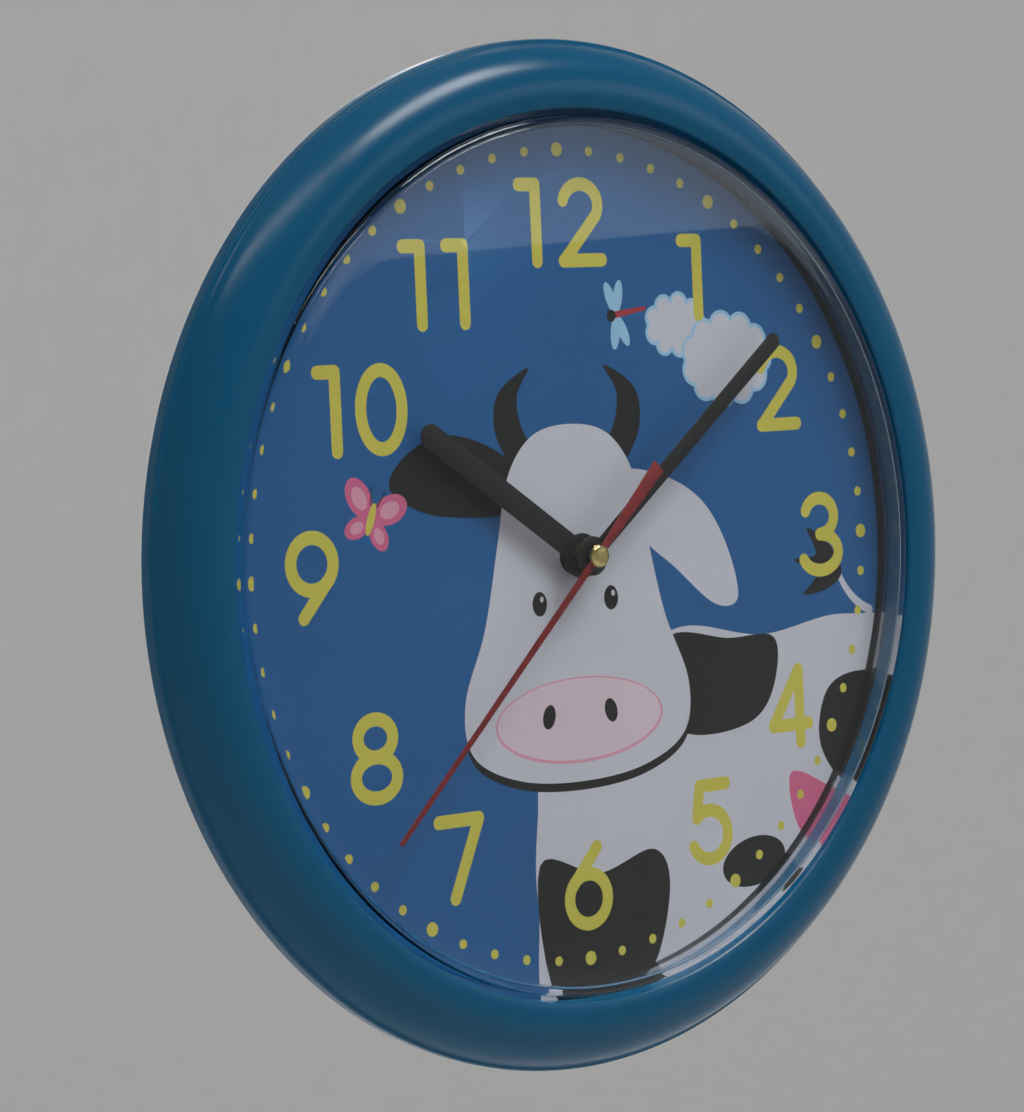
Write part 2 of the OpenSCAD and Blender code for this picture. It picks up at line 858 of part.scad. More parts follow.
module setting_knob() {
    knob_rear = case_rear - 3.6;
    knob_front = case_rear - 0.8;
    step_z = -6.5;
    grooves = 18;
    groove_r = 0.6;
    color([0.12, 0.12, 0.13])
        at(setting_at)
            difference() {
                union() {
                    gear(setting_teeth, motion_module, setting_phase, setting_gear_z);
                    disc(stem_r, step_z, floor_z, 48);
                    disc(setting_stem_r, knob_front - bite, step_z, 48);
                    disc(setting_knob_d / 2, knob_rear, knob_front);
                }
                for (i = [0 : grooves - 1])
                    at(polar(setting_knob_d / 2 + 0.25, i * 360 / grooves))
                        disc(groove_r, knob_rear - 1, knob_front + 1, 24);
            }
}

// ---- Going train ----

module centre_wheel() {
    hub_r = 2.4;
    hub_z = [-9.4, -7.5];
    color([0.82, 0.7, 0.4])
        difference() {
            union() {
                gear(centre_teeth, centre_module, centre_phase, centre_wheel_z);
                disc(hub_r, hub_z[0], hub_z[1], 64);
            }
            disc(spigot_r + run_gap, hub_z[0] - 1, hub_z[1] + 1, 64);
            wheel_windows(5, 5.6, 1.7, centre_wheel_z);
        }
}

module third_wheel() {
    color([0.92, 0.9, 0.82])
        at(third_at)
            difference() {
                union() {
                    gear(third_teeth, train_module, third_phase, third_wheel_z);
                    gear(pinion_teeth, centre_module, 0, third_pinion_z, pinion_tooth);
                    disc(stem_r, staff_rear, third_pinion_z[0] + bite, 48);
                    disc(pivot_r, pivot_rear, floor_z + 0.6, 48);
                }
                wheel_windows(5, 5.4, 1.7, third_wheel_z);
            }
}

module second_wheel() {
    hub_r = 1;
    hub_rear = -15;
    color([0.92, 0.9, 0.82])
        difference() {
            union() {
                gear(second_teeth, train_module, 0, second_wheel_z);
                gear(pinion_teeth, train_module, 0, second_pinion_z, pinion_tooth);
                disc(hub_r, hub_rear, second_wheel_z[0] + 0.2, 48);
            }
            disc(pivot_r + press_gap, hub_rear - 1, second_pinion_z[1] + 1, 48);
            wheel_windows(4, 3.6, 1.1, second_wheel_z);
        }
}

module second_arbor() {
    color("silver")
        disc(pivot_r, pivot_rear, second_tube_front, 48);
}

module fifth_wheel() {
    color([0.92, 0.9, 0.82])
        at(fifth_at)
            difference() {
                union() {
                    gear(fifth_teeth, rotor_module, 0, fifth_wheel_z);
                    gear(pinion_teeth, train_module, fifth_pinion_phase, fifth_pinion_z, pinion_tooth);
                    disc(staff_r, staff_rear, staff_front, 48);
                    disc(pivot_r, pivot_rear, pivot_front, 48);
                }
                wheel_windows(4, 3.6, 1.1, fifth_wheel_z);
            }
}

module rotor_pinion() {
    color([0.92, 0.9, 0.82])
        at(rotor_at)
            union() {
                gear(pinion_teeth, rotor_module, rotor_phase, rotor_pinion_z, pinion_tooth);
                disc(staff_r, rotor_pinion_z[0] + bite, staff_front, 48);
                disc(pivot_r, pivot_rear, pivot_front, 48);
            }
}

module rotor_magnet() {
    magnet_r = 2.8;
    color([0.3, 0.3, 0.32])
        at(rotor_at)
            tube(magnet_r, staff_r + press_gap, magnet_z[0], magnet_z[1]);
}

// ---- Motor and circuit ----

module stator() {
    arm_left = -20;
    arm_right = 8;
    arm_top = 24;
    bar = [8.1, 16.8];
    rotor_hole_r = 3.15;
    notch_r = 0.4;
    color([0.55, 0.55, 0.57])
        difference() {
            union() {
                block([arm_left, bar[0], stator_z[0]], [arm_right, bar[1], stator_z[1]]);
                block([arm_left, bar[0], stator_z[0]], [coil_x[0] - 0.3, arm_top, stator_z[1]]);
                block([coil_x[1] + 0.3, bar[0], stator_z[0]], [arm_right, arm_top, stator_z[1]]);
            }
            at(rotor_at) {
                disc(rotor_hole_r, stator_z[0] - 1, stator_z[1] + 1);
                for (turn = [60, 240])
                    at(polar(rotor_hole_r, turn))
                        disc(notch_r, stator_z[0] - 1, stator_z[1] + 1, 24);
            }
            at(pillars[3])
                disc(pillar_r + 0.1, stator_z[0] - 1, stator_z[1] + 1, 48);
        }
}

module coil_core() {
    color([0.5, 0.5, 0.52])
        block([-19.5, core_y[0], core_z[0]], [7.6, core_y[1], core_z[1]]);
}

// A bar along x through the coil's middle, by its half height and half depth
module coil_bar(x0, x1, half_y, half_z) {
    block([x0, coil_y - half_y, coil_mid_z - half_z], [x1, coil_y + half_y, coil_mid_z + half_z]);
}

module coil_bobbin() {
    color([0.9, 0.9, 0.85])
        difference() {
            union() {
                coil_bar(coil_x[0], coil_x[1], 2.5, 1.4);
                for (x = [coil_x[0], coil_x[1] - flange_t])
                    coil_bar(x, x + flange_t, 4.2, 3.95);
            }
            coil_bar(coil_x[0] - 1, coil_x[1] + 1, 1.55, 0.55);
            block([coil_x[0] - 1, 10, stator_z[0] - 0.05], [coil_x[0] + 0.1, 24.1, stator_z[1] + 0.05]);
        }
}

module coil_winding() {
    x0 = coil_x[0] + flange_t + 0.05;
    x1 = coil_x[1] - flange_t - 0.05;
    color([0.72, 0.36, 0.16])
        difference() {
            translate([x0, coil_y, coil_mid_z])
                rotate([0, 90, 0])
                    cylinder(r = winding_r, h = x1 - x0);
            coil_bar(x0 - 1, x1 + 1, 2.55, 1.45);
        }
}

module circuit_board() {
    color([0.1, 0.45, 0.22])
        block([board_x[0], board_y[0], board_z[0]], [board_x[1], board_y[1], board_z[1]]);
}

module quartz_crystal() {
    can_r = 1;
    can_len = 6;
    can_at = [16, 23.6];
    color("silver")
        translate([can_at[0], can_at[1], board_z[0] - seat_gap - can_r])
            rotate([0, 90, 0])
                cylinder(r = can_r, h = can_len, $fn = 48);
}

module chip_cover() {
    dome_r = 4;
    dome_h = 1.1;
    dome_at = [14, 19.6];
    foot_z = board_z[0] - seat_gap;
    color([0.06, 0.06, 0.06])
        at(dome_at)
            intersection() {
                translate([0, 0, foot_z + dome_r - dome_h])
                    sphere(r = dome_r);
                block([-dome_r, -dome_r, foot_z - dome_r], [dome_r, dome_r, foot_z]);
            }
}

// ---- Cell and contacts ----

module positive_contact() {
    wall_x = bay_x - 0.1;
    cup_r = 2.5;
    color([0.75, 0.68, 0.5])
        union() {
            block(
                [wall_x - strip_t, bay_bottom + 1, contact_z[0]],
                [wall_x, bay_top - 0.3, contact_z[1]]
            );
            translate([nub_tip_x + 0.1, cell_at[1], cell_at[2]])
                rotate([0, 90, 0])
                    cylinder(r = cup_r, h = wall_x - nub_tip_x - 0.3, $fn = 48);
            block([strip_x, bay_top - 1, strip_z[0]], [wall_x - 0.3, board_y[0] + 3, strip_z[1]]);
        }
}

// Strip with a bowed leaf that presses on the cell's flat end
module negative_contact() {
    wall_x = bay_x - 0.1;
    leaf_half = 5;
    leaf_w = 4;
    leaf_t = 0.35;
    bow = 1.05;
    bow_r = (leaf_half * leaf_half + bow * bow) / (2 * bow);
    bow_angle = asin(leaf_half / bow_r);
    centre = [-wall_x + strip_t + bow - bow_r, 0];
    color([0.75, 0.75, 0.72])
        union() {
            block(
                [-wall_x, bay_bottom + 1, contact_z[0]],
                [-wall_x + strip_t, bay_top - 0.3, contact_z[1]]
            );
            translate([0, cell_at[1], cell_at[2] - leaf_w / 2])
                linear_extrude(leaf_w)
                    polygon(concat(
                        arc(centre, bow_r, -bow_angle, bow_angle, 16),
                        reversed(arc(centre, bow_r - leaf_t, -bow_angle, bow_angle, 16))
                    ));
            block([-wall_x + 0.3, bay_top - 1, strip_z[0]], [-strip_x, chamber_top - 0.1, strip_z[1]]);
            block([-26.2, chamber_top - 0.5, strip_z[0]], [board_x[0] + 3, chamber_top - 0.1, strip_z[1]]);
        }
}

module battery_cell() {
    can_end = nub_tip_x - nub_len;
    can_start = nub_tip_x - cell_len;
    color("silver")
        translate(cell_at)
            rotate([0, 90, 0])
                union() {
                    disc(cell_r - 0.2, can_start, can_end);
                    disc(nub_r, can_end - bite, nub_tip_x, 64);
                }
}

module battery_sleeve() {
    color([0.15, 0.35, 0.3])
        translate(cell_at)
            rotate([0, 90, 0])
                tube(cell_r, cell_r - 0.19, nub_tip_x - cell_len + 0.3, nub_tip_x - nub_len - 0.3);
}

place() case_ring();
place() lens();
place() dial_card();
place() back_case();
place() movement_cradle();
place() case_screws();
place() hanger_plate();
place() hanger_screws();
place() hour_hand();
place() hour_hand_collet();
place() minute_hand();
place() minute_hand_collet();
place() second_hand();
place() second_hand_tube();
place() second_hand_cap();
place() movement_case();
place() movement_cover();
place() train_plate();
place() bridge_plate();
place() hour_wheel();
place() minute_arbor();
place() minute_wheel();
place() centre_wheel();
place() third_wheel();
place() second_wheel();
place() second_arbor();
place() fifth_wheel();
place() rotor_pinion();
place() rotor_magnet();
place() setting_knob();
place() stator();
place() coil_core();
place() coil_bobbin();
place() coil_winding();
place() circuit_board();
place() quartz_crystal();
place() chip_cover();
place() positive_contact();
place() negative_contact();
place() battery_cell();
place() battery_sleeve();
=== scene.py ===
"""Round battery wall clock, built around its CAD frame: bezel, lens, printed dial card, hands, cap.

Shapes are drawn in the clock's own axes in millimetres: x right, y up and z forward, with z = 0 on
the dial's face and the arbor on x = y = 0. CLOCK takes them to the frame's metres.
"""
from math import acos, asin, cos, degrees, pi, radians, sin, sqrt

import bmesh
import bpy
from mathutils import Matrix, Vector
from mathutils.geometry import delaunay_2d_cdt


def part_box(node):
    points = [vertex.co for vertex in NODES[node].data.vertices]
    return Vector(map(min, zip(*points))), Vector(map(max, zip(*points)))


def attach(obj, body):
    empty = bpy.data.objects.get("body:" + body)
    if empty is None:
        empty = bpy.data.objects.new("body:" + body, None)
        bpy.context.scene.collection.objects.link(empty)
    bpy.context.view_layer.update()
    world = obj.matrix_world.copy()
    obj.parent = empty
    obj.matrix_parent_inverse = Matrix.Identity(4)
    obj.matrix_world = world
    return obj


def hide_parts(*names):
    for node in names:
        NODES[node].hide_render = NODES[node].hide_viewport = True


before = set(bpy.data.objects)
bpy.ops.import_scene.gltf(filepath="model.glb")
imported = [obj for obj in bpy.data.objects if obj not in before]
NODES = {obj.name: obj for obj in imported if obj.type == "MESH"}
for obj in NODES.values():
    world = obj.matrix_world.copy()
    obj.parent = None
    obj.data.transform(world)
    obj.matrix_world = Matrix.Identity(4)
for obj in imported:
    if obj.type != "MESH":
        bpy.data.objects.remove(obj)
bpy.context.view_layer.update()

MM = 0.001

dial_low, dial_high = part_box("dial_card")
dial_middle = (dial_low + dial_high) / 2
# The card's box is that of its facets, so its centre is taken to the nearest tenth of a millimetre
DIAL = Vector([round(v, 4) for v in (dial_middle.x, dial_low.y, dial_middle.z)])
CLOCK = Matrix.Translation(DIAL) @ Matrix.Rotation(radians(90), 4, "X") @ Matrix.Scale(MM, 4)


# ---- Outlines ----

def polar(radius, angle):
    """Point at an angle in degrees, anticlockwise from 3 o'clock."""
    return (radius * cos(radians(angle)), radius * sin(radians(angle)))


def arc(cx, cy, rx, ry, start, end, steps=14):
    """Points of an elliptical arc between two angles in degrees."""
    turn = (end - start) / steps
    angles = [radians(start + i * turn) for i in range(steps + 1)]
    return [(cx + rx * cos(angle), cy + ry * sin(angle)) for angle in angles]


def ellipse(cx, cy, rx, ry, tilt=0.0, steps=28):
    """Closed ellipse, tilted anticlockwise by an angle in degrees."""
    c, s = cos(radians(tilt)), sin(radians(tilt))
    ring = arc(0, 0, rx, ry, 0, 360 - 360 / steps, steps - 1)
    return [(cx + x * c - y * s, cy + x * s + y * c) for x, y in ring]


def smooth_loop(points, steps=7):
    """Closed Catmull-Rom curve through the points."""
    loop, count = [], len(points)
    for i in range(count):
        p0, p1, p2, p3 = (points[(i + k - 1) % count] for k in range(4))
        for j in range(steps):
            t = j / steps
            loop.append(tuple(
                0.5 * (2 * b + (c - a) * t + (2 * a - 5 * b + 4 * c - d) * t * t
                       + (3 * b - a - 3 * c + d) * t ** 3)
                for a, b, c, d in zip(p0, p1, p2, p3)
            ))
    return loop


def stroke(points, width, end_width=None, cap_steps=8):
    """Outline of a pen stroke along the points, with round ends."""
    end_width = width if end_width is None else end_width
    line = [Vector(p) for p in points]
    last = len(line) - 1
    left, right = [], []
    for i, p in enumerate(line):
        along = (line[min(i + 1, last)] - line[max(i - 1, 0)]).normalized()
        half = (width + (end_width - width) * i / last) / 2
        side = Vector((-along.y, along.x)) * half
        left.append(p + side)
        right.append(p - side)

    def round_end(centre, edge):
        turns = [Matrix.Rotation(pi * k / cap_steps, 2) for k in range(1, cap_steps)]
        return [centre + turn @ (edge - centre) for turn in turns]

    outline = right + round_end(line[last], right[last]) + left[::-1] + round_end(line[0], left[0])
    return [(p.x, p.y) for p in outline]


def fillet(corners, steps=5):
    """Section in (r, z) with each corner (r, z, radius) rounded off. Corners with no radius stay."""
    out = []
    count = len(corners)
    for i, (r, z, radius) in enumerate(corners):
        here = Vector((r, z))
        before = Vector(corners[i - 1][:2]) - here
        after = Vector(corners[(i + 1) % count][:2]) - here
        if radius <= 0:
            out.append((r, z))
            continue
        half = before.angle(after) / 2
        reach = radius * cos(half) / sin(half)
        start = here + before.normalized() * reach
        end = here + after.normalized() * reach
        for k in range(steps + 1):
            t = k / steps
            p = start * (1 - t) ** 2 + here * (2 * t * (1 - t)) + end * t * t
            out.append((p.x, p.y))
    return out


# ---- Meshes ----

def new_piece(name, bm, body, materials, sharp=32.0):
    """Turns a bmesh in the clock's millimetres into a piece on a body.

    Edges that bend by more than sharp, in degrees, stay crisp.
    """
    bmesh.ops.recalc_face_normals(bm, faces=bm.faces)
    for face in bm.faces:
        face.smooth = True
    for edge in bm.edges:
        if edge.is_manifold and edge.calc_face_angle() > radians(sharp):
            edge.smooth = False
    bmesh.ops.transform(bm, matrix=CLOCK, verts=bm.verts)
    mesh = bpy.data.meshes.new(name)
    bm.to_mesh(mesh)
    bm.free()
    for material in materials:
        mesh.materials.append(material)
    piece = bpy.data.objects.new(name, mesh)
    bpy.context.scene.collection.objects.link(piece)
    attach(piece, body)
    return piece


def lathe(bm, section, segments, centre=(0.0, 0.0), closed=True):
    """Turns a section of (r, z) points about z. A point with r = 0 becomes one vertex."""
    rings = []
    for r, z in section:
        count = segments if r > 1e-6 else 1
        spots = [polar(r, 360 * i / segments) for i in range(count)]
        rings.append([bm.verts.new((centre[0] + x, centre[1] + y, z)) for x, y in spots])
    following = rings[1:] + rings[:1] if closed else rings[1:]
    for a, b in zip(rings, following):
        for i in range(segments):
            j = (i + 1) % segments
            corners = [a[i % len(a)], a[j % len(a)], b[j % len(b)], b[i % len(b)]]
            # At a ring of one vertex two corners are the same, and the face is a triangle
            corners = [v for k, v in enumerate(corners) if v not in corners[:k]]
            if len(corners) > 2:
                bm.faces.new(corners)


def stamped(name, loops, z, thickness, edge, turn, body, material):
    """Flat part with rounded edges cut from the loops, turned clockwise by an angle in degrees."""
    curve = bpy.data.curves.new(name, "CURVE")
    curve.dimensions = "2D"
    curve.fill_mode = "BOTH"
    curve.extrude = thickness / 2 - edge
    curve.bevel_depth = edge
    curve.bevel_resolution = 2
    curve.offset = -edge
    for loop in loops:
        spline = curve.splines.new("POLY")
        spline.points.add(len(loop) - 1)
        for point, (x, y) in zip(spline.points, loop):
            point.co = (x, y, 0, 1)
        spline.use_cyclic_u = True
    holder = bpy.data.objects.new(name + "_outline", curve)
    bpy.context.scene.collection.objects.link(holder)
    bpy.context.view_layer.update()
    cut = holder.evaluated_get(bpy.context.evaluated_depsgraph_get())
    bm = bmesh.new()
    bm.from_mesh(cut.to_mesh())
    bpy.data.objects.remove(holder)
    bpy.data.curves.remove(curve)
    bmesh.ops.remove_doubles(bm, verts=bm.verts, dist=1e-4)
    place = Matrix.Translation((0, 0, z + thickness / 2)) @ Matrix.Rotation(radians(-turn), 4, "Z")
    bmesh.ops.transform(bm, matrix=place, verts=bm.verts)
    return new_piece(name, bm, body, [material])


# ---- Materials ----

# The colour sockets of a mix node share their names with its number sockets, so they go by number
MIX_A, MIX_B, MIX_RESULT = 6, 7, 2


class Nodes:
    """Short calls for building a material's node tree.

    A value that goes from one call to the next is a pair: a node and the name of its output.
    """

    def __init__(self, name):
        self.material = bpy.data.materials.new(name)
        self.material.use_nodes = True
        self.tree = self.material.node_tree
        self.tree.nodes.clear()
        self.output = self.add("ShaderNodeOutputMaterial")
        self.shader = self.add("ShaderNodeBsdfPrincipled")
        self.link(self.shader, "BSDF", self.output, "Surface")
        self.place = (self.add("ShaderNodeTexCoord"), "Object")

    def add(self, kind, **values):
        node = self.tree.nodes.new(kind)
        for key, value in values.items():
            setattr(node, key, value)
        return node

    def link(self, a, a_out, b, b_in):
        self.tree.links.new(a.outputs[a_out], b.inputs[b_in])

    def set(self, **values):
        """Values of the shader's own sockets, which are the same all over the surface."""
        for key, value in values.items():
            self.shader.inputs[key.replace("_", " ")].default_value = value

    def noise(self, scale, detail=3.0, stretch=None):
        """Noise of a scale in cells per metre."""
        node = self.add("ShaderNodeTexNoise")
        node.inputs["Scale"].default_value = scale
        node.inputs["Detail"].default_value = detail
        source = self.place
        if stretch:
            mapping = self.add("ShaderNodeMapping")
            mapping.inputs["Scale"].default_value = stretch
            self.link(*source, mapping, "Vector")
            source = (mapping, "Vector")
        self.link(*source, node, "Vector")
        return (node, "Fac")

    def from_arbor(self):
        """Distance from the arbor's axis, in metres."""
        shift = self.add("ShaderNodeVectorMath", operation="SUBTRACT")
        shift.inputs[1].default_value = DIAL
        self.link(*self.place, shift, 0)
        flatten = self.add("ShaderNodeVectorMath", operation="MULTIPLY")
        flatten.inputs[1].default_value = (1, 0, 1)
        self.link(shift, 0, flatten, 0)
        length = self.add("ShaderNodeVectorMath", operation="LENGTH")
        self.link(flatten, 0, length, 0)
        return (length, "Value")

    def waves(self, value, per_metre):
        """Sine of a distance, with a number of waves to the metre, for turned or wound surfaces."""
        times = self.add("ShaderNodeMath", operation="MULTIPLY")
        times.inputs[1].default_value = per_metre * 2 * pi
        self.link(*value, times, 0)
        wave = self.add("ShaderNodeMath", operation="SINE")
        self.link(times, 0, wave, 0)
        return (wave, 0)

    def ramp(self, value, low, high, out_low, out_high):
        """The value with the range low to high stretched to out_low to out_high, and cut off there."""
        node = self.add("ShaderNodeMapRange")
        node.inputs["From Min"].default_value = low
        node.inputs["From Max"].default_value = high
        node.inputs["To Min"].default_value = out_low
        node.inputs["To Max"].default_value = out_high
        self.link(*value, node, "Value")
        return (node, "Result")

    def blend(self, value, colour_a, colour_b):
        """Colour from a to b as the value goes from 0 to 1. Each is plain or comes from another blend."""
        node = self.add("ShaderNodeMix", data_type="RGBA")
        self.link(*value, node, "Factor")
        for socket, colour in ((MIX_A, colour_a), (MIX_B, colour_b)):
            if isinstance(colour[0], bpy.types.Node):
                self.link(*colour, node, socket)
            else:
                node.inputs[socket].default_value = (*colour, 1)
        return (node, MIX_RESULT)

    def colour(self, value):
        self.link(*value, self.shader, "Base Color")

    def roughness(self, value):
        self.link(*value, self.shader, "Roughness")

    def bump(self, value, depth):
        """Bumps of a depth in metres. Several calls stack up."""
        node = self.add("ShaderNodeBump")
        node.inputs["Strength"].default_value = 1.0
        node.inputs["Distance"].default_value = depth
        self.link(*value, node, "Height")
        socket = self.shader.inputs["Normal"]
        if socket.is_linked:
            before = socket.links[0]
            self.tree.links.new(before.from_socket, node.inputs["Normal"])
            self.tree.links.remove(before)
        self.link(node, "Normal", self.shader, "Normal")


def shade(colour, factor):
    """The colour, made darker or lighter."""
    return tuple(min(1.0, c * factor) for c in colour)


def moulded(
    name, colour, roughness=0.45, grain=2600.0, depth=6e-6, mottle=0.10, coat=0.0, spread=0.06, shine=0.42
):
    """Moulded plastic: slight flow mottling, fine grain, and rubbed spots in its gloss."""
    n = Nodes(name)
    flow = n.ramp(n.noise(38, 5.0, (1, 1, 0.45)), 0.3, 0.7, 0, 1)
    n.colour(n.blend(flow, shade(colour, 1 - mottle), shade(colour, 1 + mottle)))
    n.roughness(n.ramp(n.noise(90, 4.0), 0.3, 0.7, roughness - spread, roughness + spread))
    n.bump(n.noise(grain, 2.0), depth)
    n.set(Specular_IOR_Level=shine)
    if coat:
        n.set(Coat_Weight=coat, Coat_Roughness=0.12)
    return n.material


def metal(name, colour, roughness=0.3, stretch=(40, 40, 1), depth=2e-6, spot=0.12):
    """Rolled or plated metal: brushed grain, dulled patches and faint colour drift."""
    n = Nodes(name)
    dull = n.ramp(n.noise(160, 5.0), 0.35, 0.65, 0, 1)
    n.colour(n.blend(dull, shade(colour, 1 - spot), shade(colour, 1 + spot / 2)))
    grain = n.noise(260, 4.0, stretch)
    n.roughness(n.ramp(grain, 0.25, 0.75, roughness * 0.75, roughness * 1.3))
    n.bump(grain, depth)
    n.set(Metallic=1.0)
    return n.material


def turned(name, colour, roughness, rings_per_m):
    """Metal turned on a lathe about the arbor, with fine rings."""
    n = Nodes(name)
    rings = n.waves(n.from_arbor(), rings_per_m)
    tarnish = n.ramp(n.noise(900, 4.0), 0.3, 0.7, 0, 1)
    n.colour(n.blend(tarnish, shade(colour, 0.86), shade(colour, 1.06)))
    n.roughness(n.ramp(n.noise(2500, 3.0), 0.3, 0.7, roughness * 0.7, roughness * 1.4))
    n.bump(rings, 1.2e-6)
    n.set(Metallic=1.0)
    return n.material


def enamel(name, colour, worn, roughness=0.38):
    """Sprayed paint on stamped metal: orange peel, and thinner, lighter paint along the edges."""
    n = Nodes(name)
    geometry = n.add("ShaderNodeNewGeometry")
    edge = n.ramp((geometry, "Pointiness"), 0.52, 0.60, 0, 0.55)
    clouds = n.ramp(n.noise(420, 4.0), 0.3, 0.7, 0, 1)
    cloudy = n.blend(clouds, shade(colour, 0.8), shade(colour, 1.25))
    n.colour(n.blend(edge, cloudy, worn))
    n.roughness(n.ramp(n.noise(1300, 3.0), 0.3, 0.7, roughness - 0.08, roughness + 0.1))
    n.bump(n.noise(3200, 2.0), 5e-6)
    n.set(Specular_IOR_Level=0.22)
    return n.material


def printed(name, colour, drift=0.05):
    """Offset ink on white card: dot-fine mottling over slow drift, under a satin varnish."""
    n = Nodes(name)
    clouds = n.ramp(n.noise(14, 3.0), 0.3, 0.7, 0, 1)
    slow = n.blend(clouds, shade(colour, 1 - drift), shade(colour, 1 + drift))
    fleck = n.ramp(n.noise(5200, 2.0), 0.45, 0.75, 0, 0.22)
    n.colour(n.blend(fleck, slow, shade(colour, 1.18)))
    n.roughness(n.ramp(n.noise(700, 4.0), 0.3, 0.7, 0.42, 0.56))
    n.bump(n.noise(1500, 5.0), 8e-6)
    n.set(Specular_IOR_Level=0.2)
    return n.material


def clear_plastic(name):
    """Clear moulded plastic. Lamps' rays pass straight through it, so that what is behind stays lit."""
    n = Nodes(name)
    n.set(Base_Color=(0.985, 0.995, 1.0, 1), Transmission_Weight=1.0, IOR=1.38)
    n.set(Roughness=0.015, Specular_IOR_Level=0.25)
    n.bump(n.noise(16, 2.0), 1.5e-5)
    path = n.add("ShaderNodeLightPath")
    see = n.add("ShaderNodeBsdfTransparent")
    see.inputs["Color"].default_value = (0.93, 0.95, 0.96, 1)
    mix = n.add("ShaderNodeMixShader")
    n.link(path, "Is Shadow Ray", mix, 0)
    n.link(n.shader, "BSDF", mix, 1)
    n.link(see, "BSDF", mix, 2)
    n.link(mix, "Shader", n.output, "Surface")
    return n.material


def wound_copper(name, colour, turns_per_m=5200):
    """Lacquered wire wound on a bobbin that lies along X, with painted shade in the grooves between its
    turns.
    """
    n = Nodes(name)
    split = n.add("ShaderNodeSeparateXYZ")
    n.link(*n.place, split, 0)
    turns = n.waves((split, "X"), turns_per_m)
    # Colour darker in the grooves between the turns and lighter on their crowns: painted shade and painted
    # highlight
    n.colour(n.blend(n.ramp(turns, -1, 1, 0, 1), shade(colour, 0.55), shade(colour, 1.1)))
    n.roughness(n.ramp(n.noise(700), 0.3, 0.7, 0.25, 0.4))
    n.bump(turns, 2e-5)
    n.set(Metallic=0.9)
    return n.material


# Linear colours
BLUE = (0.001, 0.102, 0.218)
SKY = (0.008, 0.097, 0.272)
YELLOW = (0.570, 0.505, 0.072)
BLACK_INK = (0.008, 0.008, 0.007)
WHITE_INK = (0.555, 0.550, 0.605)

bezel_plastic = moulded("bezel_plastic", BLUE, 0.24, 900, 4e-6, 0.03, spread=0.03, shine=0.3)
case_plastic = moulded("case_plastic", shade(BLUE, 0.85), 0.5, 3200, 1.2e-5, 0.08)
black_plastic = moulded("black_plastic", (0.012, 0.012, 0.013), 0.48, 3000, 1e-5, 0.18)
natural_plastic = moulded("natural_plastic", (0.66, 0.65, 0.60), 0.4, 2400, 6e-6, 0.04)
acetal = moulded("acetal", (0.78, 0.76, 0.68), 0.33, 2600, 4e-6, 0.03)
resin = moulded("resin", (0.010, 0.010, 0.011), 0.2, 600, 2e-5, 0.15)
solder_mask = moulded("solder_mask", (0.020, 0.120, 0.045), 0.3, 1800, 8e-6, 0.12, coat=0.4)
sleeve_film = moulded("sleeve_film", (0.045, 0.110, 0.095), 0.28, 1500, 4e-6, 0.06, coat=0.3)
zinc = metal("zinc", (0.62, 0.62, 0.63), 0.34)
spring_steel = metal("spring_steel", (0.56, 0.56, 0.57), 0.28, (1, 40, 40))
bright_steel = metal("bright_steel", (0.66, 0.66, 0.67), 0.18, (30, 1, 30))
bronze = metal("bronze", (0.64, 0.52, 0.30), 0.3, (1, 40, 40))
brass = metal("brass", (0.74, 0.58, 0.26), 0.25)
ferrite = metal("ferrite", (0.10, 0.10, 0.11), 0.55, (1, 1, 1), 8e-6)
cap_brass = turned("cap_brass", (0.80, 0.63, 0.24), 0.12, 14000)
tube_metal = turned("tube_metal", (0.70, 0.70, 0.71), 0.25, 12000)
black_enamel = enamel("black_enamel", (0.008, 0.008, 0.008), (0.022, 0.022, 0.022))
red_enamel = enamel("red_enamel", (0.185, 0.009, 0.011), (0.280, 0.026, 0.028), 0.34)
copper = wound_copper("copper", (0.60, 0.25, 0.10))
lens_plastic = clear_plastic("lens_plastic")


# ---- Bezel ----

BEZEL_R = 125.0  # outer radius
HOLE_R = 107.7  # radius of the opening
HOLE_EDGE = 0.35  # chamfer round the opening
HOLE_WALL = 1.8  # thickness of the wall round the opening
HOLE_REAR_Z = 1.6  # rear edge of that wall, just in front of the lens's foot
ROLL_R = 12.9  # radius of the rounded front, in section
ROLL_AT = (HOLE_R + 3.9, -3.4)  # centre of the rounded front, in section
SKIN = 2.2  # thickness of the moulding
CREASE_R = 123.5  # where the rounded front meets the rim
LIP_Z = -3.5  # rear edge of the outer lip
LIP_INNER_Z = -1.0  # where the lip's inner face starts to curve
SCREWS = 6
SCREW_CIRCLE = 118.0
BOSS_R = 2.9
PILOT_R = 1.2  # radius of the hole in a boss
BOSS_REAR_Z, BOSS_FRONT_Z = -0.6, 5.0
ROUND = 288  # segments of the bezel and the lens


